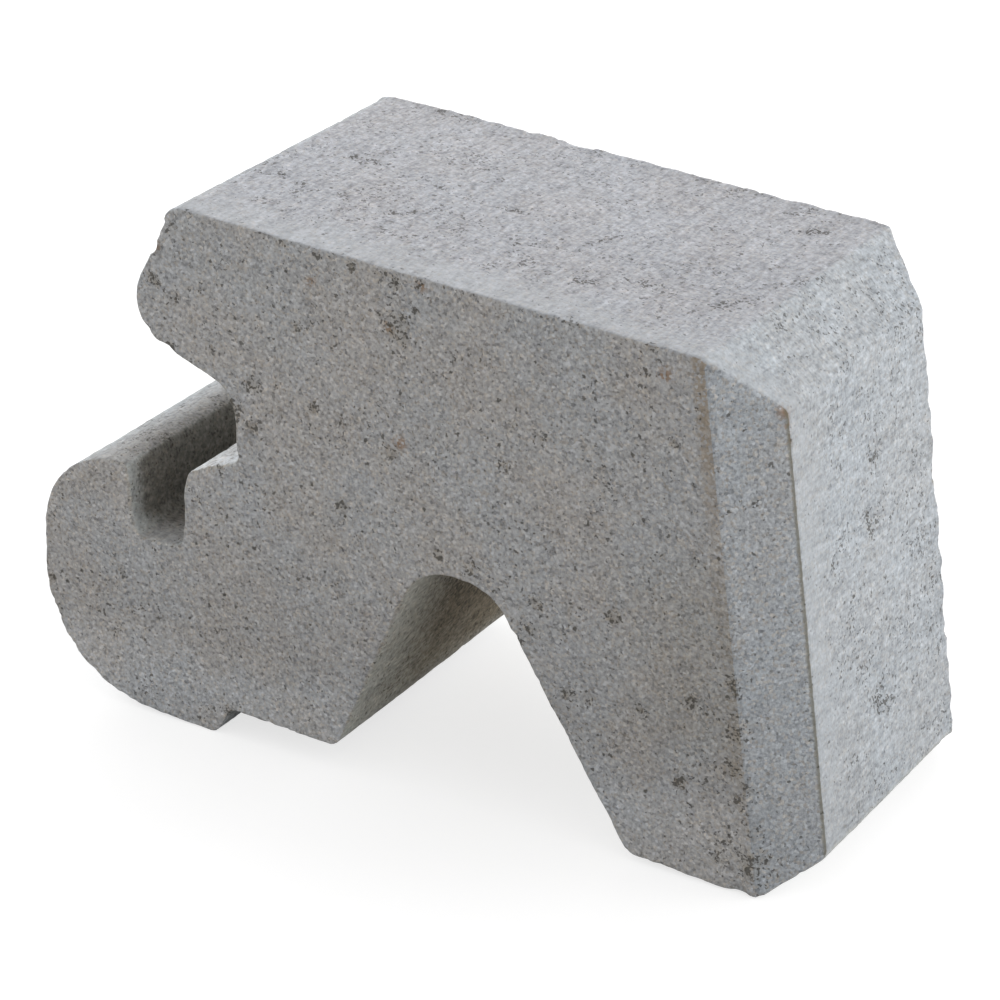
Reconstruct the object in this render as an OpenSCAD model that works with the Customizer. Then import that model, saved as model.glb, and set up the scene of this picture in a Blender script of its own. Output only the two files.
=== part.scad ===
// Dry-laid retaining wall block of cast concrete.
// One side profile runs straight through the width of the block: a nose at the
// back of the top, an open groove behind a rounded lip, a lug that hooks behind
// the block below, a short rear foot, a notch and a front leg. The front face
// leans back and is bevelled on all four sides.
// The profile is drawn as the block lies in a wall, with X towards the front,
// Z up, the bearing plane at z = 0 and the top front fold at x = 0. The finished
// block is then tipped onto its lug and its toe, as it stands on a level floor.

/* [Block] */
// Width along the wall
block_w = 200; // [140:1:300]
// Height from the bearing plane to the top plane
block_h = 282; // [255:1:340]
// Length of the top plane, from its rear corner to the fold at the front
top_len = 307; // [285:1:360]

/* [Front] */
// Angle by which the front face leans back
face_lean = 10.5; // [5:0.5:14]
// How far the bevels stand forward of the folds
bevel_depth = 33.5; // [24:0.5:45]
// Height of the bevel along the top
top_bevel = 26.5; // [15:0.5:40]
// Height of the bevel along the bottom
bottom_bevel = 20.5; // [12:0.5:35]
// Width of the bevel at each side
side_bevel = 26; // [12:0.5:45]

/* [Nose] */
// Depth of the nose below the top plane, at its tip
nose_h = 70; // [55:1:85]
// Angle by which the back of the nose runs out on its way down
nose_splay = 21; // [10:1:28]
// Slope of the nose's underside
nose_slope = 19; // [5:1:25]
// Rounding of the nose's tip
nose_r = 21; // [8:1:24]
// Rounding of the rear edge of the top
crest_r = 10; // [4:1:16]

/* [Groove] */
// Distance from the rear corner of the top forward to the neck
neck_inset = 43; // [34:1:60]
// Rounding where the nose runs into the neck
neck_r = 20; // [6:1:24]
// Height of the ledge where it meets the neck
ledge_h = 149; // [142:1:162]
// Length of the ledge behind the neck
ledge_len = 30.5; // [22:0.5:38]
// Slope of the ledge
ledge_slope = 23; // [10:1:30]
// Width of the groove at its floor
groove_w = 31.5; // [22:0.5:38]
// Height of the groove's floor
groove_floor = 87; // [70:1:96]
// Angle by which each wall of the groove opens
groove_flare = 6; // [0:1:8]
// Rounding of the groove's floor corners
groove_r = 8; // [2:1:10]

/* [Tail] */
// Distance from the rear corner of the top back to the end of the tail
tail_reach = 83; // [76:1:110]
// Height of the lip's top
lip_h = 127; // [118:1:134]
// Rounding of the lip's back
lip_r = 51; // [25:1:52]
// Rounding of the lip's edge over the groove
lip_edge_r = 3; // [1:0.5:4]
// Rounding of the belly under the tail
belly_r = 70; // [40:1:74]

/* [Underside] */
// Depth of the lug below the bearing plane
lug_drop = 18; // [10:1:24]
// Length of the lug, from the end of the tail to its front edge
lug_len = 114; // [104:1:125]
// Slope of the lug's front, from upright
lug_slope = 30; // [10:1:40]
// Length of the rear foot
foot_len = 67.5; // [45:0.5:80]
// Rounding of the foot's front edge
foot_r = 9; // [3:1:14]
// Height of the notch
notch_h = 124; // [95:1:135]
// Lean of the notch's rear wall
notch_rear_lean = 20.5; // [12:0.5:26]
// Lean of the notch's front wall
notch_front_lean = 35; // [25:1:40]
// Rounding of the notch's crown
notch_r = 30; // [12:1:34]
// Length of the leg's bottom, from its heel to the toe
leg_len = 74; // [60:1:95]
// Rounding of the leg's heel
heel_r = 6; // [2:1:12]
// Rounding of the edges that the block stands on, and of the smallest corners
edge_r = 3; // [1:0.5:4]

/* [Hidden] */

// Largest gap between a rounded stretch and its chords
facet_sag = 0.08;

// Distance that the front leans back for each unit of height
lean_run = tan(face_lean);

// Places along the profile, in the wall frame
toe_x = block_h * lean_run;
bevel_top_z = block_h - top_bevel;
face_bottom_x = bevel_depth + (bevel_top_z - bottom_bevel) * lean_run;
rear_x = -top_len;
tail_x = rear_x - tail_reach;
neck_x = rear_x + neck_inset;
nose_tip_x = rear_x - nose_h * tan(nose_splay);
nose_tip_z = block_h - nose_h;
nose_root_z = nose_tip_z - (neck_x - nose_tip_x) * tan(nose_slope);
ledge_x = neck_x - ledge_len;
ledge_edge_z = ledge_h - ledge_len * tan(ledge_slope);
groove_front_x = ledge_x - (ledge_edge_z - groove_floor) * tan(groove_flare);
groove_back_x = groove_front_x - groove_w;
lip_edge_x = groove_back_x - (lip_h - groove_floor) * tan(groove_flare);
lug_x = tail_x + lug_len;
foot_back_x = lug_x + lug_drop * tan(lug_slope);
foot_front_x = foot_back_x + foot_len;
heel_x = toe_x - leg_len;
crown_back_x = foot_front_x + notch_h * tan(notch_rear_lean);
crown_front_x = heel_x - notch_h * tan(notch_front_lean);

// Distance from the side folds forward to the front face, square to the face
fold_to_face = (bevel_depth - top_bevel * lean_run) * cos(face_lean);
// How many times its own size each side bevel's cut runs past its fold
overrun = 1.5;
// More than any distance across the profile
reach = 2 * (block_h + top_len + tail_reach);

// Corners of the profile as [x, z, rounding]
top_fold = [0, block_h, 0];
crest = [rear_x, block_h, crest_r];
nose_tip = [nose_tip_x, nose_tip_z, nose_r];
nose_root = [neck_x, nose_root_z, neck_r];
ledge_root = [neck_x, ledge_h, edge_r];
ledge_edge = [ledge_x, ledge_edge_z, edge_r];
groove_front = [groove_front_x, groove_floor, groove_r];
groove_back = [groove_back_x, groove_floor, groove_r];
lip_edge = [lip_edge_x, lip_h, lip_edge_r];
lip_back = [tail_x, lip_h, lip_r];
belly = [tail_x, -lug_drop, belly_r];
lug = [lug_x, -lug_drop, edge_r];
foot_back = [foot_back_x, 0, edge_r];
foot_front = [foot_front_x, 0, foot_r];
crown_back = [crown_back_x, notch_h, notch_r];
crown_front = [crown_front_x, notch_h, notch_r];
heel = [heel_x, 0, heel_r];
toe = [toe_x, 0, edge_r];
face_bottom = [face_bottom_x, bottom_bevel, 0];
face_top = [bevel_depth, bevel_top_z, 0];

// The corners in order, from the top fold round by the back and the underside
CORNERS = [
    top_fold, crest, nose_tip, nose_root, ledge_root, ledge_edge,
    groove_front, groove_back, lip_edge, lip_back, belly, lug,
    foot_back, foot_front, crown_back, crown_front, heel, toe,
    face_bottom, face_top,
];
LAST = len(CORNERS) - 1;

function xz(corner) = [corner[0], corner[1]];
function unit(v) = v / norm(v);
function quarter_turn(v) = [-v[1], v[0]];
function turned(v, angle) = v * cos(angle) + quarter_turn(v) * sin(angle);

// Places in the list of corners
function at(corner) = [for (i = [0:LAST]) if (CORNERS[i] == corner) i][0];
function prev(i) = i == 0 ? LAST : i - 1;
function next(i) = i == LAST ? 0 : i + 1;

// The side that leaves corner i, and the angle that the outline turns there
function side(i) = xz(CORNERS[next(i)]) - xz(CORNERS[i]);
function way_in(i) = unit(side(prev(i)));
function way_out(i) = unit(side(i));
function turn(i) = atan2(quarter_turn(way_in(i)) * way_out(i), way_in(i) * way_out(i));

// Length that a rounding takes from each side of its corner, and the share of
// it that fits where the roundings at both ends meet on one side
function cut_back(i) = CORNERS[i][2] * tan(abs(turn(i)) / 2);
function share(i) =
    let (wanted = cut_back(i) + cut_back(next(i)))
    wanted == 0 ? 1 : min(1, norm(side(i)) / wanted);
function radius(i) = CORNERS[i][2] * min(share(prev(i)), share(i));

// Centre of the rounding at corner i
function centre(i) =
    let (r = radius(i))
    xz(CORNERS[i]) - way_in(i) * r * tan(abs(turn(i)) / 2)
        + sign(turn(i)) * r * quarter_turn(way_in(i));

// Points along the rounding at corner i
function rounding(i) =
    let (
        r = radius(i),
        start = -sign(turn(i)) * r * quarter_turn(way_in(i)),
        steps = ceil(abs(turn(i)) / (2 * acos(1 - facet_sag / r)))
    )
    [for (k = [0:steps]) centre(i) + turned(start, turn(i) * k / steps)];

OUTLINE = [for (i = [0:LAST]) each radius(i) == 0 ? [xz(CORNERS[i])] : rounding(i)];

// The block stands on the edge of its lug and on its toe. Both have one
// rounding, so the line between the two centres is level when it stands.
stand_line = centre(at(toe)) - centre(at(lug));
stand_tilt = -atan2(stand_line[1], stand_line[0]);
function standing(p) = turned(p, stand_tilt);
stand_z = standing(centre(at(toe)))[1] - edge_r;
stand_back_x = standing(centre(at(belly)))[0] - radius(at(belly));
stand_front_x = standing(xz(face_bottom))[0];
stand_mid_x = (stand_back_x + stand_front_x) / 2;

// Extrudes a profile in X and Z along the width of the block, centred on it
module along_wall(width) {
    translate([0, width / 2, 0])
        rotate([90, 0, 0])
            linear_extrude(width) children();
}

// The plan of the block as seen along its leaning front face. Only the side
// bevels cut: each runs through its fold, and the plan is larger all round.
module side_bevel_plan() {
    run = overrun * fold_to_face;
    cut = overrun * side_bevel;
    polygon([
        [-reach, -block_w / 2 - cut],
        [-run, -block_w / 2 - cut],
        [run, -block_w / 2 + cut],
        [run, block_w / 2 - cut],
        [-run, block_w / 2 + cut],
        [-reach, block_w / 2 + cut],
    ]);
}

module block_in_wall() {
    intersection() {
        along_wall(block_w) polygon(OUTLINE);
        translate([toe_x, 0, 0])
            rotate([0, -face_lean, 0])
                linear_extrude(2 * reach, center = true) side_bevel_plan();
    }
}

module block() {
    color([0.62, 0.62, 0.60])
        translate([-stand_mid_x, 0, -stand_z])
            rotate([0, -stand_tilt, 0])
                block_in_wall();
}

block();
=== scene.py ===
"""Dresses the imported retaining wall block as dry-cast concrete and sets it in a plain studio.

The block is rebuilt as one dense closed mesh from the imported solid's own profile, then worn,
pitted and roughened. X runs towards the bevelled front, Y along the wall and Z up, in metres.
The marks on the block are given by places in its box, where each axis runs from 0 to 1.
"""

import math
from types import SimpleNamespace

import bmesh
import bpy
import numpy as np
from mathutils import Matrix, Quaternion, Vector, geometry, kdtree, noise

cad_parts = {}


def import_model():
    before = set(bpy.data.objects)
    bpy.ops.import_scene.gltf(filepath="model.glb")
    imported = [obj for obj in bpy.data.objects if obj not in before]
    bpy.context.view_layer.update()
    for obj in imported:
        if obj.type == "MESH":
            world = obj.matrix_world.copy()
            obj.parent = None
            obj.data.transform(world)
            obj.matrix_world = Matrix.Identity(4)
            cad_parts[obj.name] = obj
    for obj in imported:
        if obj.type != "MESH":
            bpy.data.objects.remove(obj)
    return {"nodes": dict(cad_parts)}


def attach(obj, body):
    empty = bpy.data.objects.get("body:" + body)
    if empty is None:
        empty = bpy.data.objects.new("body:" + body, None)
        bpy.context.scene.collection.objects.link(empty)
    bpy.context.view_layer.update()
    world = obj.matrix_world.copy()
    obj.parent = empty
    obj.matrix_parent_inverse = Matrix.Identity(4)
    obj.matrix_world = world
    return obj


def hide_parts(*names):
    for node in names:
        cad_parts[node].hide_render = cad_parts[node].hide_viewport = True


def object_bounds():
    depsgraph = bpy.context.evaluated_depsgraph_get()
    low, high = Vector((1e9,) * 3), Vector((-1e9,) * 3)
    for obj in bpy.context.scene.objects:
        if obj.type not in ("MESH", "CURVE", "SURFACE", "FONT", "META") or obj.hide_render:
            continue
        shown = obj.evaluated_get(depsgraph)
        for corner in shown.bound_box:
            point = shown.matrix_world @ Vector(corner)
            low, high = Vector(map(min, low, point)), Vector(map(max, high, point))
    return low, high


MM = 0.001

# The mesh: its spacings along the profile, across the width and over the ends
ALONG = 2.0 * MM
ACROSS = 3.1 * MM
OVER_ENDS = 2.45 * MM
# Distances of the extra rows of points beside the edges of the ends
EDGE_ROWS = np.array([0.0, 1.0, 2.4, 4.4]) * MM
# How far inside the outline of each end a ring of points lies
END_RING = 1.0 * MM
# How far the other points of the ends are shaken, and how far they keep clear of the fold and
# the ring, as shares of the spacings
SHAKE = 0.2
CLEAR = 0.45
# Where the relief folds the surface more sharply than this, it is evened out
SHARPEST = math.radians(85)
SEED = 11

# Crumbling patches as (place, radius)
CRUMBLES = [
    # Pockets in the near end
    ((0.496, 0, 0.881), 15 * MM),
    ((0.304, 0, 0.707), 8 * MM),
    ((0.203, 0, 0.830), 8 * MM),
    ((0.283, 0, 0.640), 10 * MM),
    ((0.303, 0, 0.628), 7 * MM),
    ((0.252, 0, 0.545), 5 * MM),
    ((0.674, 0, 0.739), 7 * MM),
    ((0.631, 0, 0.670), 7 * MM),
    ((0.859, 0, 0.340), 6 * MM),
    ((0.737, 0, 0.287), 8 * MM),
    ((0.258, 0, 0.040), 8 * MM),
    ((0.388, 0, 0.920), 5 * MM),
    ((0.521, 0, 0.912), 5 * MM),
    ((0.369, 0, 0.832), 5 * MM),
    ((0.252, 0, 0.757), 5 * MM),
    # Down the fold with the bevel
    ((0.940, 0, 0.062), 18 * MM),
    ((0.900, 0, 0.060), 11 * MM),
    ((0.905, 0, 0.100), 11 * MM),
    ((0.940, 0, 0.120), 11 * MM),
    ((0.918, 0, 0.170), 10 * MM),
    ((0.930, 0, 0.200), 8 * MM),
    ((0.912, 0, 0.235), 9 * MM),
    ((0.920, 0, 0.302), 13 * MM),
    ((0.914, 0, 0.380), 11 * MM),
    # Along the near edge of the top
    ((0.328, 0, 0.985), 5 * MM),
    ((0.355, 0, 0.981), 4 * MM),
    ((0.396, 0, 0.975), 5 * MM),
    ((0.440, 0, 0.966), 5 * MM),
    ((0.475, 0, 0.962), 5 * MM),
    ((0.497, 0, 0.955), 6 * MM),
    ((0.528, 0, 0.958), 6 * MM),
    # On the top
    ((0.409, 0.305, 0.984), 6 * MM),
    ((0.425, 0.340, 0.982), 5 * MM),
    ((0.634, 0.480, 0.965), 5 * MM),
    # On the front
    ((0.960, 0.551, 0.658), 12 * MM),
    ((0.970, 0.300, 0.550), 8 * MM),
    ((0.970, 0.500, 0.565), 10 * MM),
    ((0.985, 0.476, 0.245), 12 * MM),
]
# Small crumbling spots strewn over both ends
SPOT_COUNT = 64
SPOT_RADII = (4.5 * MM, 7.5 * MM)
SPOT_SEED = 5

# Round-bottomed pits strewn over the whole surface, as (count, radii, depths)
PITS = [
    (900, (1.6 * MM, 3.2 * MM), (0.3 * MM, 1.0 * MM)),
    (60, (3 * MM, 4.5 * MM), (0.6 * MM, 1.4 * MM)),
]

# Tears across the top, each a broken chain of pits from one place to another, and their width
TEARS = [
    ((0.443, 0.512, 0.981), (0.527, 0.502, 0.974)),
    ((0.560, 0.325, 0.971), (0.623, 0.382, 0.966)),
    ((0.662, 0.222, 0.962), (0.684, 0.238, 0.961)),
    ((0.705, 0.292, 0.959), (0.737, 0.317, 0.957)),
    ((0.812, 0.290, 0.949), (0.842, 0.414, 0.947)),
    ((0.790, 0.815, 0.952), (0.820, 0.868, 0.950)),
    ((0.916, 0.648, 0.941), (0.945, 0.630, 0.939)),
    ((0.285, 0.560, 0.994), (0.330, 0.575, 0.991)),
    ((0.384, 0.552, 0.986), (0.419, 0.511, 0.983)),
    ((0.251, 0.340, 0.997), (0.306, 0.311, 0.993)),
    ((0.335, 0.335, 0.990), (0.350, 0.300, 0.989)),
    ((0.215, 0.320, 0.999), (0.235, 0.330, 0.998)),
]
TEAR_WIDTH = 7 * MM

# Rusty spots as (place, radius)
RUSTS = [
    ((0.821, 0, 0.904), 5 * MM),
    ((0.500, 0, 0.668), 5 * MM),
    ((0.182, 0, 0.925), 4 * MM),
    ((0.530, 0, 0.960), 4 * MM),
    ((0.486, 0, 0.872), 4 * MM),
    ((0.388, 0, 0.924), 3 * MM),
    ((0.934, 0.13, 0.850), 6 * MM),
    ((0.938, 0.13, 0.825), 4 * MM),
    ((0.941, 0.13, 0.800), 3 * MM),
]

# Chips off the edges as (place, radius, depth)
CHIPS = [
    ((0.184, 0, 0.913), 5 * MM, 1.8 * MM),
    ((0.300, 0, 0.610), 5 * MM, 1.6 * MM),
    ((0.922, 0, 0.008), 6 * MM, 1.4 * MM),
    ((0.285, 0, 0.032), 6 * MM, 2.0 * MM),
]

# Places where the edges wore more, as (place, radius, extra depth)
WORN = [
    ((0.118, 0, 0.490), 9 * MM, 2.2 * MM),
    ((0.135, 0, 0.420), 12 * MM, 2.0 * MM),
    ((0.170, 0, 0.345), 12 * MM, 1.6 * MM),
    ((0.205, 0, 0.400), 12 * MM, 1.2 * MM),
    ((0.250, 0, 0.555), 14 * MM, 2.4 * MM),
    ((0.488, 0, 0.345), 12 * MM, 2.0 * MM),
    ((0.470, 0, 0.270), 12 * MM, 2.2 * MM),
    ((0.448, 0, 0.200), 12 * MM, 1.8 * MM),
    ((0.425, 0, 0.120), 12 * MM, 1.2 * MM),
    ((0.935, 0, 0.020), 12 * MM, 1.4 * MM),
]

# Places where the casting came out a little full or short, all across its width, as
# (place, radius, height)
SWELLS = [
    ((0.157, 0, 0.865), 15 * MM, 2.2 * MM),
    ((0.201, 0, 0.985), 5 * MM, 1.0 * MM),
    ((0.205, 0, 0.730), 16 * MM, 1.0 * MM),
    ((0.284, 0, 0.662), 10 * MM, 2.6 * MM),
    ((0.281, 0, 0.600), 11 * MM, 0.9 * MM),
    ((0.211, 0, 0.470), 11 * MM, 1.6 * MM),
    ((0.222, 0, 0.520), 4 * MM, -1.2 * MM),
    ((0.123, 0, 0.488), 8 * MM, -2.4 * MM),
]

# The lowest and the highest place of the part of the profile that holds the ledge
LEDGE = ((0.195, 0, 0.40), (0.290, 0, 0.60))

# How far the burr at the far end and the smeared skin at the near end reach over the skin
BURR_REACH = 6 * MM
SMEAR_REACH = 36 * MM

# The painted shade, dirt and damp in the hollows thin out towards the near end, over this
# distance on upright skin, and over so much more on skin that faces up or down
FADE = 18 * MM
FADE_FACING_UP = 16 * MM
FADE_FACING_DOWN = 57 * MM

# Linear colours
WARM_SAND = (0.44, 0.375, 0.30, 1)
COLD_SAND = (0.37, 0.385, 0.43, 1)
FOLD_RUST = (0.27, 0.205, 0.13, 1)
SPOT_RUST = (0.25, 0.15, 0.08, 1)
FRONT_EDGE = (0.16, 0.15, 0.11, 1)
STAIN = (0.27, 0.225, 0.155, 1)
# The dark in the pores: dirt and painted shade
HOLE = (0.06, 0.055, 0.045, 1)

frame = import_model()
cad_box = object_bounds()
low, high = cad_box
centre = (low + high) / 2


def in_box(place):
    """The point at that place in the block's box."""
    return np.array(low) + np.array(high - low) * np.array(place)


# ---------------------------------------------------------------- profile


def middle_profile(solid):
    """The solid's outline halfway across, as points in X and Z, anticlockwise."""
    bm = bmesh.new()
    bm.from_mesh(solid.data)
    bmesh.ops.remove_doubles(bm, verts=bm.verts, dist=0.01 * MM)
    bmesh.ops.bisect_plane(
        bm,
        geom=[*bm.verts, *bm.edges, *bm.faces],
        plane_co=centre,
        plane_no=(0, 1, 0),
        clear_inner=True,
        clear_outer=True,
    )
    first = last = bm.verts[:][0]
    step = first.link_edges[0]
    points = []
    while not points or last != first:
        points.append((last.co.x, last.co.z))
        last = step.other_vert(last)
        step = next(e for e in last.link_edges if e != step)
    bm.free()
    outline = np.array(points)
    x, z = outline.T
    area = (x * np.roll(z, -1) - z * np.roll(x, -1)).sum()
    return outline if area > 0 else outline[::-1]


def resampled(outline, spacing, passes=2):
    """The outline in even steps, its corners softened a little."""
    closed = np.vstack([outline, outline[:1]])
    lengths = np.concatenate([[0], np.cumsum(np.linalg.norm(np.diff(closed, axis=0), axis=1))])
    places = np.linspace(0, lengths[-1], round(lengths[-1] / spacing), endpoint=False)
    even = np.column_stack([np.interp(places, lengths, closed[:, i]) for i in (0, 1)])
    for _ in range(passes):
        even = (np.roll(even, 1, axis=0) + 2 * even + np.roll(even, -1, axis=0)) / 4
    return even


def outward(outline):
    """The unit normal of the outline at each of its points."""
    along = np.roll(outline, -1, axis=0) - np.roll(outline, 1, axis=0)
    normals = np.column_stack([along[:, 1], -along[:, 0]])
    return normals / np.linalg.norm(normals, axis=1, keepdims=True)


def inside(points, outline):
    """Whether each point lies within the outline."""
    x, z = points.T[:, :, None]
    x0, z0 = outline.T[:, None]
    x1, z1 = np.roll(outline, -1, axis=0).T[:, None]
    crosses = (z0 > z) != (z1 > z)
    rise = np.where(z1 == z0, 1, z1 - z0)
    return (crosses & (x < x0 + (z - z0) * (x1 - x0) / rise)).sum(1) % 2 == 1


def nearest(points, targets):
    """The distance from each point to the closest target, and that target's number."""
    tree = kdtree.KDTree(len(targets))
    for i, (x, z) in enumerate(targets):
        tree.insert((x, z, 0), i)
    tree.balance()
    found = [tree.find((x, z, 0)) for x, z in points]
    return np.array([f[2] for f in found]), np.array([f[1] for f in found])


class SideBevel:
    """The plane of the bevel at the near end of the front, and its fold with the end."""

    def __init__(self, solid):
        bevels = [f for f in solid.data.polygons if -0.95 < f.normal.y < -0.2]
        widest = max(bevels, key=lambda f: f.area)
        self.normal = np.array(widest.normal)
        self.offset = self.normal @ np.array(widest.center)
        self.run = np.linalg.norm(self.normal[[0, 2]])
        self.forward_unit = self.normal[[0, 2]] / self.run
        self.slope = self.run / -self.normal[1]

    def forward(self, places):
        """How far each point in X and Z lies in front of the fold."""
        to_end = -self.normal[1] * -low.y
        return (places @ self.normal[[0, 2]] - self.offset + to_end) / self.run

    def half_width(self, places):
        """Half the block's width at each point in X and Z."""
        return -low.y - self.slope * np.maximum(self.forward(places), 0)


# ---------------------------------------------------------------- mesh


def end_points(outline, normals, bevel, rng):
    """The points of an end in X and Z: the outline, a ring inside it, the fold, the rest."""
    ring = outline - normals * END_RING
    lo, hi = outline.min(0), outline.max(0)
    row_gap = OVER_ENDS * math.sqrt(3) / 2
    rows = np.arange(lo[1], hi[1], row_gap)
    grid = np.array(
        [
            (x + (OVER_ENDS / 2 if i % 2 else 0), z)
            for i, z in enumerate(rows)
            for x in np.arange(lo[0], hi[0], OVER_ENDS)
        ]
    )
    grid += rng.uniform(-SHAKE, SHAKE, grid.shape) * OVER_ENDS
    ahead = bevel.forward(grid)
    grid = grid[np.abs(ahead) > CLEAR * OVER_ENDS]
    upright = np.array([-bevel.forward_unit[1], bevel.forward_unit[0]])
    origin = -bevel.forward(np.zeros((1, 2)))[0] * bevel.forward_unit
    climb = np.arange(0, 2 * hi[1], ALONG) - 0.5 * hi[1]
    fold = origin + climb[:, None] * upright
    rest = np.vstack([fold, grid])
    rest = rest[inside(rest, outline)]
    gap, _ = nearest(rest, outline)
    rest = rest[gap > END_RING + CLEAR * ALONG]
    return np.vstack([outline, ring, rest])


def end_faces(points, outline_count):
    """Triangles over the points of an end, anticlockwise in X and Z."""
    border = [(i, (i + 1) % outline_count) for i in range(outline_count)]
    flat = [Vector(p) for p in points]
    _, _, faces, origin, _, _ = geometry.delaunay_2d_cdt(flat, border, [], 1, 1e-7)
    return [[origin[i][0] for i in f] for f in faces]


def shelter(outline, normals):
    """From 0 to 1, how much of the view from each point of the outline the block fills, and
    how much of it the block and the floor fill."""
    angles = np.radians(np.arange(-85, 86, 10))
    start = outline + normals * 0.2 * MM
    corners = outline[::3]
    ahead = np.roll(corners, -1, axis=0) - corners
    filled = np.zeros((2, len(outline)))
    for angle in angles:
        c, s = math.cos(angle), math.sin(angle)
        nx, nz = normals.T
        ray = np.column_stack([nx * c - nz * s, nx * s + nz * c])
        to_corner = corners[None] - start[:, None]
        det = ray[:, None, 0] * ahead[None, :, 1] - ray[:, None, 1] * ahead[None, :, 0]
        det = np.where(np.abs(det) < 1e-12, 1e-12, det)
        far = (to_corner[..., 0] * ahead[:, 1] - to_corner[..., 1] * ahead[:, 0]) / det
        share = (to_corner[..., 0] * ray[:, None, 1] - to_corner[..., 1] * ray[:, None, 0]) / det
        hit = (far > 0) & (share >= 0) & (share <= 1)
        filled[0] += c * hit.any(1)
        filled[1] += c * (hit.any(1) | (ray[:, 1] < 0))
    return filled / np.cos(angles).sum()


def blended(shares, passes=20):
    """The shares with each point's blended into its neighbours' along the outline."""
    for _ in range(passes):
        shares = (np.roll(shares, 1, axis=1) + 2 * shares + np.roll(shares, -1, axis=1)) / 4
    return shares


def rows_across(half):
    """Y for each row of the skin, at each point of an outline with those half widths."""
    inner_rows = round(2 * -low.y / ACROSS)
    steps = np.linspace(-1, 1, inner_rows + 1)[1:-1]
    inner = steps[:, None] * (half - EDGE_ROWS[-1])
    near_rows = EDGE_ROWS[:, None] - half
    return np.vstack([near_rows, inner, -near_rows[::-1]])


def skin_quads(row_count, count):
    """The faces between rows of that many points, each row closed on itself."""
    quads = []
    for row in range(row_count - 1):
        for k in range(count):
            a = row * count + k
            b = row * count + (k + 1) % count
            quads.append((a, a + count, b + count, b))
    return quads


def build_block(solid, rng):
    """The block as a dense mesh, with the numbers that its wear and colour need."""
    bevel = SideBevel(solid)
    outline = resampled(middle_profile(solid), ALONG)
    normals = outward(outline)
    count = len(outline)
    half = bevel.half_width(outline)
    y = rows_across(half)
    row_count = len(y)
    skin = np.column_stack(
        [np.tile(outline[:, 0], row_count), y.ravel(), np.tile(outline[:, 1], row_count)]
    )
    skin_faces = skin_quads(row_count, count)

    flat = end_points(outline, normals, bevel, rng)
    triangles = end_faces(flat, count)
    extra = flat[count:]
    width = bevel.half_width(extra)
    ends = [np.column_stack([extra[:, 0], side * width, extra[:, 1]]) for side in (-1, 1)]
    far_row = (row_count - 1) * count
    near_shift = len(skin) - count
    far_shift = near_shift + len(extra)
    near_faces = [[i if i < count else i + near_shift for i in face] for face in triangles]
    far_faces = [
        [i + (far_row if i < count else far_shift) for i in reversed(face)] for face in triangles
    ]

    points = np.vstack([skin, *ends])
    mesh = bpy.data.meshes.new("block_concrete")
    mesh.from_pydata(points.tolist(), [], skin_faces + near_faces + far_faces)
    mesh.update()

    gap, closest = nearest(extra, outline)
    along = np.concatenate([np.tile(np.arange(count), row_count), closest, closest])
    on_end = np.zeros(len(mesh.polygons))
    on_end[len(skin_faces) :] = 1
    middles = np.empty(3 * len(mesh.polygons))
    mesh.polygons.foreach_get("center", middles)
    before_fold = bevel.forward(middles.reshape(-1, 3)[:, [0, 2]]) < 0
    zeros = np.zeros(2 * len(extra))
    facts = {
        "points": points,
        # -1 in the near half and 1 in the far half
        "side": np.sign(points[:, 1]),
        # The normal of the closest skin
        "normal": np.column_stack([normals[along, 0], np.zeros(len(along)), normals[along, 1]]),
        # Distances over the skin to the closer end, and over the ends to their outline
        "to_end": np.append((half - np.abs(y)).ravel(), zeros),
        "to_outline": np.concatenate([np.zeros(len(skin)), gap, gap]),
        # Distances in front of the fold, and the largest of them
        "ahead": bevel.forward(points[:, [0, 2]]),
        "reach": bevel.forward(outline).max(),
        # Which faces belong to the ends and to the bevels beside the front
        "end": on_end * before_fold,
        "bevel": on_end * ~before_fold,
    }
    for name, values in skin_facts(skin, outline, normals).items():
        facts[name] = np.append(values, zeros)
    return mesh, facts


def skin_facts(skin, outline, normals):
    """Numbers from 0 to 1 for each point of the skin: how far the block hems it in, how much
    painted shade and dirt it takes, how much damp and painted shade it takes low in the notch, how
    far it faces down, and whether it is the ledge."""
    row_count = len(skin) // len(outline)
    by_block, by_both = blended(shelter(outline, normals))
    damp = np.clip(4 * by_block * (by_both - by_block), 0, 1) ** 2
    hemmed_in, damp, up = [np.tile(v, row_count) for v in (by_block, damp, normals[:, 1])]
    facing_up, facing_down = np.clip(up, 0, 1), np.clip(-4 * up, 0, 1)
    fade_length = FADE + FADE_FACING_UP * facing_up + FADE_FACING_DOWN * facing_down
    fade = np.clip((skin[:, 1] - low.y) / fade_length, 0.12, 1)
    farther = 0.7 + 0.3 * np.clip(skin[:, 1] / high.y, 0, 1)
    lowest, highest = [in_box(place) for place in LEDGE]
    in_ledge = ((skin > lowest) & (skin < highest))[:, [0, 2]].all(1)
    return {
        "hemmed_in": hemmed_in,
        "sheltered": hemmed_in * fade,
        "damp": damp * fade * farther,
        "underside": facing_down,
        "ledge": np.clip(4 * up - 2, 0, 1) * in_ledge,
    }


# ---------------------------------------------------------------- relief


def lumps(points, size, seed, stretch=1.0):
    """Smooth noise from -1 to 1 with lumps of that size, stretched along Y."""
    scale = Vector((1 / size, 1 / (size * stretch), 1 / size))
    shift = Vector((seed, 2.3 * seed, -1.7 * seed))
    return np.array([noise.noise(Vector(p) * scale + shift) for p in points])


def marked(spots):
    """The spots with their places turned into points."""
    return [(in_box(place), radius) for place, radius in spots]


def patches(points, spots, seed):
    """From 0 to 1, how far each point is inside the ragged patches round the spots."""
    ragged = 1 + 0.5 * lumps(points, 6 * MM, seed)
    amount = np.zeros(len(points))
    for middle, radius in spots:
        distance = np.linalg.norm(points - middle, axis=1) * ragged
        amount = np.maximum(amount, np.clip(1.5 * (1 - distance / radius), 0, 1))
    return amount


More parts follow.
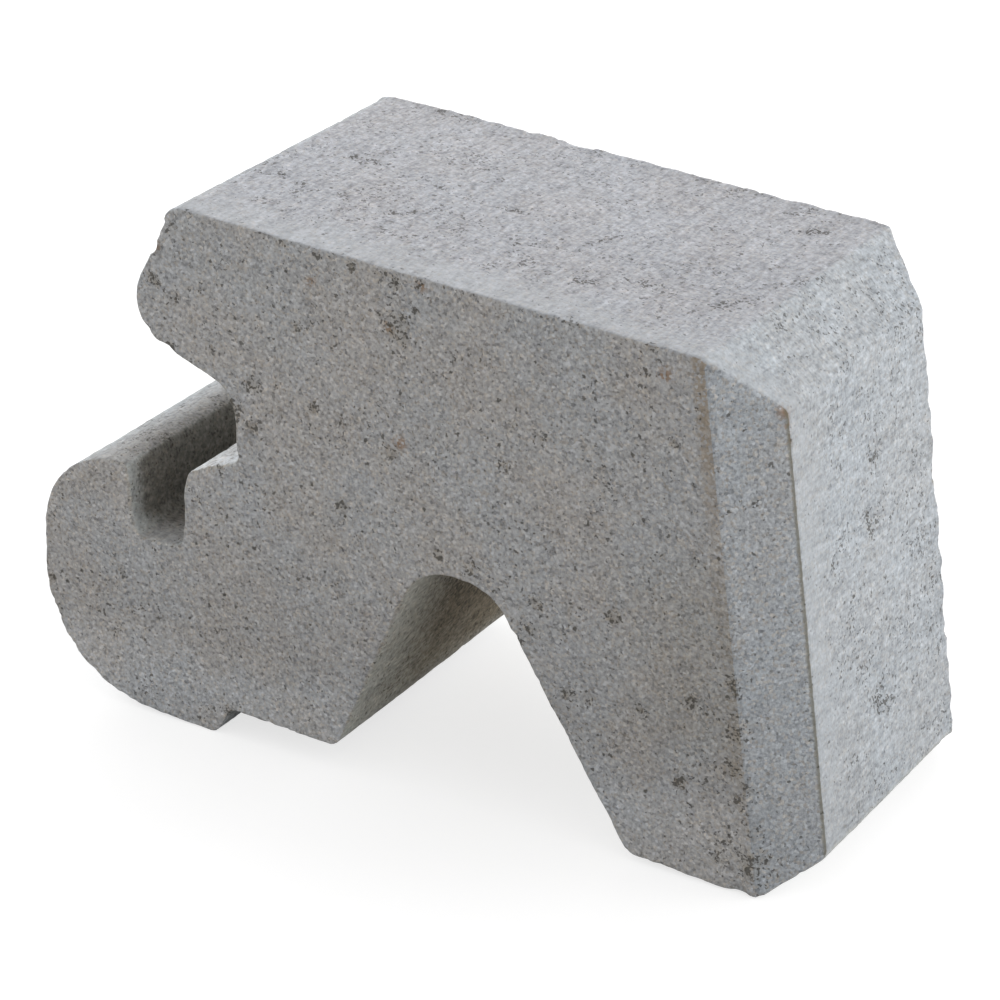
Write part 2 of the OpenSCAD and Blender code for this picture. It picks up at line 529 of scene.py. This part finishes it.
def torn(points):
    """From 0 to 1, how far each point is inside the chains of pits along the tears."""
    ragged = 1 + 0.5 * lumps(points, 6 * MM, seed=21)
    amount = np.zeros(len(points))
    for start, end in TEARS:
        start = in_box(start)
        along = in_box(end) - start
        share = np.clip((points - start) @ along / (along @ along), 0, 1)
        distance = np.linalg.norm(points - start - share[:, None] * along, axis=1) * ragged
        amount = np.maximum(amount, np.clip(1.5 * (1 - 2 * distance / TEAR_WIDTH), 0, 1))
    return amount * np.clip(0.8 + 1.2 * lumps(points, 4 * MM, seed=22), 0, 1)


def worn_edges(facts):
    """Moves that wear the edges round both ends and raise a burr along the far one, and from
    0 to 1, where the edges wore."""
    side = facts["side"]
    edge = facts["points"].copy()
    edge[:, 1] = side * high.y
    fine = lumps(edge, 5 * MM, seed=3)
    coarse = lumps(edge, 17 * MM, seed=4)
    near_cut = 0.6 + 0.5 * fine + 1.6 * np.maximum(coarse - 0.25, 0)
    far_cut = 0.4 + 0.7 * fine + 2.4 * np.maximum(coarse - 0.15, 0)
    cut = np.clip(np.where(side < 0, near_cut, far_cut), 0.15, 3.0) * MM
    for place, radius, extra in WORN:
        gone = np.linalg.norm(edge - in_box(place), axis=1) / radius
        cut += extra * np.exp(-(gone**2))
    moved = np.maximum(cut - facts["to_end"] - facts["to_outline"], 0) / 2
    burr = np.maximum(0.8 + 1.3 * lumps(edge, 11 * MM, seed=19), 0) * (side > 0) * MM
    burr *= np.clip(1 - facts["to_end"] / BURR_REACH, 0, 1) * (facts["to_outline"] < 1e-6)
    moves = facts["normal"] * (burr - moved)[:, None]
    moves[:, 1] -= side * moved
    return moves, np.clip(moved / (0.6 * MM), 0, 1)


def strewn(points, rng, count, radii, depths):
    """That many pits strewn over the points, as (point, radius, depth)."""
    chosen = rng.integers(0, len(points), count)
    return list(zip(points[chosen], rng.uniform(*radii, count), rng.uniform(*depths, count)))


def small_spots(ends):
    """Small crumbling spots strewn over the points of the ends, as (point, radius)."""
    own_rng = np.random.default_rng(SPOT_SEED)
    chosen = own_rng.integers(0, len(ends), SPOT_COUNT)
    return list(zip(ends[chosen], own_rng.uniform(*SPOT_RADII, SPOT_COUNT)))


def hollow(points, tree, pits):
    """How deep each point lies in the deepest pit round it."""
    depth = np.zeros(len(points))
    ragged = 1 + 0.45 * lumps(points, 3.5 * MM, seed=8)
    for middle, radius, deepest in pits:
        for _, i, distance in tree.find_range(middle, 1.6 * radius):
            inward = 1 - (distance * ragged[i] / radius) ** 2
            depth[i] = max(depth[i], deepest * inward)
    return depth


def roughen(mesh, facts, rng):
    """Wears, pits and roughens the mesh, and never moves a point out of the solid's box."""
    moves, worn = worn_edges(facts)
    points = facts["points"] + moves
    mesh.vertices.foreach_set("co", points.ravel())
    mesh.update()
    normals = np.empty(points.size)
    mesh.vertex_normals.foreach_get("vector", normals)
    normals = normals.reshape(-1, 3)

    tree = kdtree.KDTree(len(points))
    for i, p in enumerate(points):
        tree.insert(p, i)
    tree.balance()
    spots = marked(CRUMBLES) + small_spots(points[facts["to_end"] == 0])
    crumble = np.maximum(patches(points, spots, seed=5), torn(points))
    depth = 0.30 * MM * lumps(points, 38 * MM, seed=1)
    depth += 0.18 * MM * lumps(points, 9 * MM, seed=2)
    depth += 0.22 * MM * lumps(points, 3.2 * MM, seed=6) * (1 + 3 * crumble)
    depth += 0.10 * MM * lumps(points, 4 * MM, seed=7, stretch=9)
    depth += 0.5 * MM * crumble * (1 + 2 * np.abs(lumps(points, 5 * MM, seed=9)))
    pits = [pit for kind in PITS for pit in strewn(points, rng, *kind)]
    pits += [(in_box(place), radius, deepest) for place, radius, deepest in CHIPS]
    pitted = hollow(points, tree, pits)
    for place, radius, height in SWELLS:
        gone = np.linalg.norm((points - in_box(place))[:, [0, 2]], axis=1) / radius
        depth -= height * np.exp(-(gone**2))
    points -= normals * (depth + pitted)[:, None]
    points = np.clip(points, np.array(low), np.array(high))
    mesh.vertices.foreach_set("co", points.ravel())
    unfold(mesh)
    return crumble, pitted, worn


def unfold(mesh, passes=12):
    """Evens out the few places where the relief folded the surface most sharply."""
    bm = bmesh.new()
    bm.from_mesh(mesh)
    for _ in range(passes):
        bm.normal_update()
        sharp = [e for e in bm.edges if e.calc_face_angle(0) > SHARPEST]
        rough = {v.index for e in sharp for f in e.link_faces for v in f.verts}
        if not rough:
            break
        verts = [v for v in bm.verts if v.index in rough]
        bmesh.ops.smooth_vert(
            bm, verts=verts, factor=0.5, use_axis_x=True, use_axis_y=True, use_axis_z=True
        )
    bm.to_mesh(mesh)
    bm.free()


def openness(facts, crumble, worn):
    """From 0 to 1 and more where it crumbled, how full of pores the surface is, and from 0 to 1,
    how far the skin beside the near end was smeared shut."""
    points = facts["points"]
    on_skin = facts["to_outline"] < 1e-6
    from_edge = np.where(facts["side"] < 0, facts["to_end"], 2 * high.y) / SMEAR_REACH
    ragged = 1 + 0.6 * lumps(points, 22 * MM, seed=18)
    smeared = np.clip(1.4 * (1 - from_edge * ragged), 0, 1) * on_skin * (1 - worn)
    smeared *= 1 - np.clip(5 * facts["hemmed_in"], 0, 1)
    small = lumps(points, 9 * MM, seed=14)
    patchy = 0.25 + 0.55 * lumps(points, 26 * MM, seed=13) + 0.40 * small
    patchy += (0.16 - 0.05 * points[:, 1] / high.y + 0.25 * small) * on_skin
    patchy -= 0.17 * (facts["ahead"] > 0) * ~on_skin
    return np.clip(patchy, 0, 1) * (1 - 0.85 * smeared) + 0.95 * crumble, smeared


# ---------------------------------------------------------------- nodes


class Nodes:
    """Makes the nodes of one material or world. Each call returns what its last node gives."""

    def __init__(self, owner):
        owner.use_nodes = True
        self.tree = owner.node_tree
        self.tree.nodes.clear()

    def add(self, kind, inputs, output=0, **settings):
        """Adds a node, and links or sets the inputs that are named or numbered."""
        node = self.tree.nodes.new("ShaderNode" + kind)
        for name, value in settings.items():
            setattr(node, name, value)
        for name, value in inputs.items():
            socket = node.inputs[name]
            if isinstance(value, bpy.types.NodeSocket):
                self.tree.links.new(value, socket)
            else:
                socket.default_value = value
        return node.outputs[output] if node.outputs else None

    def math(self, operation, a, b=0.0):
        return self.add("Math", {0: a, 1: b}, operation=operation)

    def in_turn(self, operation, values):
        """Applies the operation to the first two values, then to the result and the next."""
        result = values[0]
        for value in values[1:]:
            result = self.math(operation, result, value)
        return result

    def times(self, *values):
        return self.in_turn("MULTIPLY", values)

    def plus(self, *values):
        return self.in_turn("ADD", values)

    def most(self, *values):
        return self.in_turn("MAXIMUM", values)

    def minus(self, a, b):
        return self.math("SUBTRACT", a, b)

    def ramp(self, value, start, end, low=0.0, high=1.0):
        """Goes smoothly from low to high while the value goes from start to end."""
        inputs = {"Value": value, "From Min": start, "From Max": end, "To Min": low, "To Max": high}
        return self.add("MapRange", inputs, interpolation_type="SMOOTHSTEP")

    def mix(self, factor, a, b):
        """Goes from colour a to colour b. Their sockets share names with others, hence numbers."""
        return self.add("Mix", {0: factor, 6: a, 7: b}, 2, data_type="RGBA")

    def scaled(self, colour, factor):
        return self.add("VectorMath", {0: colour, "Scale": factor}, operation="SCALE")

    def multiplied(self, colour, tint):
        return self.add("VectorMath", {0: colour, 1: tint}, operation="MULTIPLY")

    def tinted(self, colour, amount, tint):
        """The colour, and multiplied by the tint where the amount is 1."""
        return self.multiplied(colour, self.mix(amount, (1, 1, 1, 1), (*tint, 1)))

    def axes(self, vector):
        node = self.add("SeparateXYZ", {"Vector": vector}).node
        return node.outputs["X"], node.outputs["Y"], node.outputs["Z"]

    def noise(self, coordinates, size):
        inputs = {"Vector": coordinates, "Scale": 1 / size, "Detail": 1.0, "Roughness": 0.6}
        return self.add("TexNoise", inputs, "Fac")

    def cells(self, coordinates, size):
        """The distance from the middle of the nearest cell, and that cell's random vector."""
        node = self.add("TexVoronoi", {"Vector": coordinates, "Scale": 1 / size}).node
        return node.outputs["Distance"], node.outputs["Color"]

    def stored(self, name):
        """A number that is stored on the mesh."""
        return self.add("Attribute", {}, "Fac", attribute_name=name)


# ---------------------------------------------------------------- material
# In these functions, n makes the nodes and s holds what surface gives.


def grey(level, warmth=0.0):
    """A grey of that linear level, with its red raised and its blue lowered by the warmth."""
    return (level * (1 + warmth), level, level * (1 - warmth), 1)


def surface(n, names):
    """The numbers stored under those names, where on the block it is, and the grain there."""
    s = SimpleNamespace(**{name: n.stored(name) for name in names})
    s.place = n.add("TexCoord", {}, "Object")
    s.forward, s.along, s.height = n.axes(s.place)
    # 1 on the skin, and less where its edges wore
    s.skin = n.minus(n.minus(1.0, s.end), s.bevel)
    s.skin = n.times(s.skin, n.minus(1.0, s.worn))
    # Painted shade and dirt where the block hems itself in, weaker close to the floor
    s.hidden = n.ramp(s.sheltered, 0.15, 0.9)
    s.hidden = n.times(s.hidden, n.ramp(s.height, 10 * MM, 100 * MM, 0.4, 1.0))
    s.grain = n.noise(s.place, 1.6 * MM)
    s.wide = n.noise(s.place, 3.4 * MM)
    s.drawn_out = n.noise(n.multiplied(s.place, (1, 0.22, 1)), 1.9 * MM)
    _, sand = n.cells(s.place, 1.5 * MM)
    s.tone, s.hue, _ = n.axes(sand)
    return s


def pores_in(n, s):
    """Where the pores are: pits of many sizes, gaps between grains, and tears where it crumbled.
    The gaps are returned alone too."""
    ragged = n.times(n.minus(s.grain, 0.5), 1.1)
    distance, cell = n.cells(s.place, 3.4 * MM)
    distance = n.plus(distance, ragged)
    draw, _, _ = n.axes(cell)
    share = n.ramp(s.pores, 0.0, 1.0, 0.95, 0.10)
    drawn = n.add("MapRange", {"Value": draw, "From Min": share, "From Max": 1.0})
    radius = n.times(drawn, drawn, 0.36)
    pits = n.ramp(n.minus(radius, distance), -0.04, 0.08)
    gap_rim = n.minus(n.ramp(s.pores, 0.0, 1.1, 0.78, 0.60), n.times(s.skin, 0.02))
    gaps = n.ramp(n.minus(n.noise(s.place, 2.1 * MM), gap_rim), -0.02, 0.06)
    tear_rim = n.ramp(s.pores, 0.55, 1.25, 0.76, 0.525)
    torn = n.plus(n.times(s.wide, 0.6), n.times(s.grain, 0.4))
    torn = n.ramp(n.minus(torn, tear_rim), -0.02, 0.05)
    return n.most(pits, gaps, torn), gaps


def clean_colour(n, s):
    """The colour of the ends, the skin and the bevels, with warm and cold grains of sand, and
    painted shade on the skin that faces up.
    """
    mottle = n.ramp(s.mottle, -0.6, 0.6)
    end_tint = n.mix(mottle, grey(0.374, 0.038), grey(0.388, -0.012))
    skin_tint = n.mix(mottle, grey(0.405, -0.045), grey(0.42, -0.065))
    bevel_tint = n.mix(mottle, grey(0.366, -0.03), grey(0.375, -0.06))
    colour = n.mix(s.bevel, n.mix(s.skin, end_tint, skin_tint), bevel_tint)
    # Painted shade: the skin that faces up is a little darker and warmer
    colour = n.tinted(colour, n.times(s.upward, s.skin), (0.945, 0.908, 0.915))
    colour = n.mix(n.times(s.smeared, 0.5), colour, grey(0.44, -0.045))
    bare = n.ramp(s.skin, 0.0, 1.0, 1.0, 0.5)
    warm = n.times(n.ramp(s.hue, 0.6, 1.0, 0.0, 0.40), bare)
    colour = n.mix(warm, colour, WARM_SAND)
    cold = n.times(n.ramp(s.hue, 0.4, 0.0, 0.0, 0.25), bare)
    return n.mix(cold, colour, COLD_SAND)


def contrast(n, s):
    """How much the grain, the blotches and the drag marks lighten or darken the clean colour."""
    swing = n.times(n.minus(s.tone, 0.5), 2.0)
    sand = n.plus(n.times(swing, swing, swing, 0.30), n.times(swing, 0.08))
    fine = n.plus(sand, n.times(n.minus(s.grain, 0.5), 1.15))
    fine = n.times(fine, n.ramp(s.skin, 0.0, 1.0, 0.92, 0.46))
    fine = n.times(fine, n.ramp(s.bevel, 0.0, 1.0, 1.0, 0.92))
    blotch = n.times(s.blotch, n.ramp(s.skin, 0.0, 1.0, 0.04, 0.16))
    broad = n.times(n.minus(s.wide, 0.5), n.ramp(s.skin, 0.0, 1.0, 0.14, 0.62))
    strokes = n.times(n.minus(s.drawn_out, 0.5), s.skin, 0.66)
    strokes = n.times(strokes, n.ramp(s.hidden, 0.0, 0.3, 1.0, 0.2))
    swings = n.times(
        n.plus(fine, blotch, broad, strokes),
        n.ramp(s.smeared, 0.0, 1.0, 1.0, 0.6),
        n.ramp(s.hidden, 0.0, 0.6, 1.0, 1.7),
        n.ramp(s.damp, 0.0, 0.5, 1.0, 1.6),
    )
    return n.plus(swings, n.times(s.streak, s.skin, 0.11))


def rusted(n, s, colour, reach):
    """Adds rust down the fold and at the spots, and the dark line along the bevel's front edge."""
    from_fold = n.math("ABSOLUTE", n.plus(s.ahead, 2.5 * MM))
    band = n.times(
        n.ramp(from_fold, 2.5 * MM, 6 * MM, 1.0, 0.0),
        n.ramp(s.height, high.z - 120 * MM, high.z - 40 * MM, 0.25, 0.8),
        n.ramp(s.along, centre.y - 10 * MM, centre.y, 1.0, 0.0),
        n.ramp(s.hue, 0.2, 0.5, 0.35, 1.0),
        s.end,
        0.75,
    )
    colour = n.mix(band, colour, FOLD_RUST)
    speckle = n.ramp(s.hue, 0.3, 0.45, 0.15, 1.0)
    spots = n.times(s.rust, speckle, n.ramp(s.skin, 0.0, 1.0, 1.0, 0.2), 0.85)
    colour = n.mix(spots, colour, SPOT_RUST)
    line = n.times(n.ramp(s.ahead, reach - 2.0 * MM, reach - 0.5 * MM, 0.0, 0.75), s.bevel)
    return n.mix(line, colour, FRONT_EDGE)


def porous(n, s, colour, holes):
    """Stains the crumbled concrete, and darkens its pores and pits with dirt and painted shade."""
    stain = n.times(n.ramp(s.pores, 0.7, 1.4, 0.0, 0.25), n.minus(1.0, s.skin))
    colour = n.mix(stain, colour, STAIN)
    hole_depth = n.ramp(s.pores, 0.8, 1.2, n.ramp(s.skin, 0.0, 1.0, 0.72, 0.60), 0.78)
    # Painted shade and dirt in the pores
    colour = n.mix(n.times(holes, hole_depth), colour, HOLE)
    # Painted shade and dirt, darker in deeper pits
    return n.scaled(colour, n.ramp(s.pitted, 0.2 * MM, 1.5 * MM, 1.0, 0.75))


def painted_light_and_dirt(n, s, colour):
    """Paints light and shade into the colour over the whole block: darker towards the bottom, the
    front and the near end, paler feet, a darker shin above the toe, a paler lip, ledge and notch
    wall, a warm tint of bounce light and dirt where it hems itself in, painted shade with dirt in
    the hollows, and painted shade with damp low in the notch."""
    # Painted light: darker towards the bottom, towards the front and towards the near end
    colour = n.scaled(colour, n.ramp(s.height, low.z, low.z + 150 * MM, 0.92, 1.0))
    colour = n.scaled(colour, n.ramp(s.forward, low.x, high.x, 1.03, 0.96))
    colour = n.scaled(colour, n.ramp(s.along, low.y, high.y, 1.0, 1.06))
    foot = n.times(n.ramp(s.height, low.z + 25 * MM, low.z + 65 * MM, 1.0, 0.0), s.end)
    shin = n.times(
        n.ramp(s.forward, high.x - 130 * MM, high.x - 60 * MM),
        n.ramp(s.height, low.z + 50 * MM, low.z + 90 * MM),
        n.ramp(s.height, low.z + 150 * MM, low.z + 200 * MM, 1.0, 0.0),
        s.end,
    )
    lip = n.times(n.ramp(s.forward, low.x + 80 * MM, low.x + 95 * MM, 1.0, 0.0), s.skin)
    in_notch = n.ramp(s.forward, centre.x - 120 * MM, centre.x - 80 * MM)
    notch_wall = n.times(s.underside, s.skin, in_notch)
    for amount, tint in [
        # Painted light: paler feet, a darker shin and a paler lip
        (foot, (1.24, 1.26, 1.285)),
        (shin, (0.895, 0.89, 0.87)),
        (lip, (1.03, 1.025, 1.005)),
        # Painted warm bounce light and dirt where the block hems itself in
        (n.ramp(s.hemmed_in, 0.1, 0.4), (1, 0.985, 0.94)),
        # Painted light: a paler ledge and a paler notch wall
        (n.times(s.ledge, s.skin), (1.52, 1.52, 1.55)),
        (notch_wall, (1.27, 1.23, 1.13)),
        # Painted shade with dirt in the hollows, then painted shade with damp low in the notch
        (s.hidden, (0.46, 0.425, 0.385)),
        (s.damp, (0.38, 0.28, 0.16)),
    ]:
        colour = n.tinted(colour, amount, tint)
    return colour


def concrete(names, reach):
    """The concrete. It reads the numbers stored under those names, and its bevel reaches that
    far in front of the fold."""
    material = bpy.data.materials.new("concrete")
    n = Nodes(material)
    s = surface(n, names)
    holes, gaps = pores_in(n, s)
    colour = n.scaled(clean_colour(n, s), n.plus(contrast(n, s), 1.0))
    colour = rusted(n, s, colour, reach)
    colour = painted_light_and_dirt(n, s, porous(n, s, colour, holes))
    relief = n.minus(n.times(s.grain, n.ramp(s.skin, 0.0, 1.0, 1.0, 0.6)), gaps)
    bump = n.add("Bump", {"Height": relief, "Strength": 1.0, "Distance": 0.35 * MM})
    looks = {"Base Color": colour, "Roughness": 0.9, "Specular IOR Level": 0.3, "Normal": bump}
    n.add("OutputMaterial", {"Surface": n.add("BsdfPrincipled", looks)})
    return material


# ---------------------------------------------------------------- the block


def store(mesh, domain, numbers):
    """Stores each of the numbers under its name, for each point or face of the mesh."""
    for name, values in numbers.items():
        layer = mesh.attributes.new(name, "FLOAT", domain)
        layer.data.foreach_set("value", np.asarray(values, np.float32))


def dressed(solid):
    """The block in its concrete."""
    rng = np.random.default_rng(SEED)
    mesh, facts = build_block(solid, rng)
    crumble, pitted, worn = roughen(mesh, facts, rng)
    pores, smeared = openness(facts, crumble, worn)
    points = facts["points"]
    of_points = {
        "pores": pores,
        "smeared": smeared,
        "worn": worn,
        "pitted": pitted,
        "mottle": lumps(points, 45 * MM, seed=15) + 0.6 * lumps(points, 14 * MM, seed=16),
        "blotch": lumps(points, 4.2 * MM, seed=20),
        "streak": lumps(points, 5 * MM, seed=17, stretch=10),
        "rust": patches(points, marked(RUSTS), seed=12),
        "upward": np.clip(10 * facts["normal"][:, 2] - 9, 0, 1),
    }
    for name in ("ahead", "hemmed_in", "sheltered", "damp", "underside", "ledge"):
        of_points[name] = facts[name]
    of_faces = {name: facts[name] for name in ("end", "bevel")}
    store(mesh, "POINT", of_points)
    store(mesh, "FACE", of_faces)
    mesh.shade_smooth()
    mesh.materials.append(concrete([*of_points, *of_faces], float(facts["reach"])))
    made = bpy.data.objects.new("block_concrete", mesh)
    bpy.context.scene.collection.objects.link(made)
    return made


block = dressed(frame["nodes"]["block"])
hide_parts("block")
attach(block, "root")

# ---------------------------------------------------------------- studio


def floor():
    """A wide pale floor, white to the camera but for the block's shadow."""
    side = 6.0
    corners = [(-side, -side, 0), (side, -side, 0), (side, side, 0), (-side, side, 0)]
    flat = bpy.data.meshes.new("floor")
    flat.from_pydata(corners, [], [(0, 1, 2, 3)])
    material = bpy.data.materials.new("floor")
    n = Nodes(material)
    seen = n.add("LightPath", {}, "Is Camera Ray")
    tone = n.mix(seen, (0.58, 0.58, 0.58, 1), (0.42, 0.42, 0.42, 1))
    matte = n.add("BsdfDiffuse", {"Color": tone})
    glow = n.add("Emission", {"Strength": n.times(seen, 0.7)})
    n.add("OutputMaterial", {"Surface": n.add("AddShader", {0: matte, 1: glow})})
    flat.materials.append(material)
    ground = bpy.data.objects.new("floor", flat)
    bpy.context.scene.collection.objects.link(ground)
    ground.location.z = low.z


def world():
    """Even light from all round, white where the camera sees it."""
    sky = bpy.data.worlds.new("studio")
    bpy.context.scene.world = sky
    n = Nodes(sky)
    seen = n.add("LightPath", {}, "Is Camera Ray")
    strength = n.ramp(seen, 0.0, 1.0, 0.66, 1.0)
    light = n.add("Background", {"Color": (1, 1, 1, 1), "Strength": strength})
    n.add("OutputWorld", {"Surface": light})


def lamp(name, bearing, strength):
    """A wide soft lamp, low over the floor; its bearing is in degrees from X towards Y."""
    sun = bpy.data.lights.new(name, "SUN")
    sun.energy = strength
    sun.angle = math.radians(60)
    made = bpy.data.objects.new(name, sun)
    bpy.context.scene.collection.objects.link(made)
    made.rotation_euler = (0, math.radians(75), math.radians(bearing))


def camera(aim, azimuth, elevation, roll, distance, lens):
    a, e = math.radians(azimuth), math.radians(elevation)
    back = Vector((math.sin(a) * math.cos(e), -math.cos(a) * math.cos(e), math.sin(e)))
    data = bpy.data.cameras.new("camera")
    data.lens = lens
    data.sensor_width = 36
    data.clip_start, data.clip_end = 0.1, 30
    made = bpy.data.objects.new("camera", data)
    bpy.context.scene.collection.objects.link(made)
    made.location = aim + back * distance
    made.rotation_mode = "QUATERNION"
    level = (-back).to_track_quat("-Z", "Y")
    made.rotation_quaternion = level @ Quaternion((0, 0, 1), math.radians(roll))
    bpy.context.scene.camera = made


floor()
world()
lamp("behind_front", 45, 1.9)
lamp("behind_back", 135, 2.18)
lamp("front", 0, 0.73)
lamp("back", 180, 0.4)
camera(
    aim=centre + Vector((2.6, -8.4, -17.7)) * MM,
    azimuth=31.29,
    elevation=25.68,
    roll=-0.175,
    distance=1.8386,
    lens=125.3,
)
bpy.context.scene.view_settings.view_transform = "Standard"
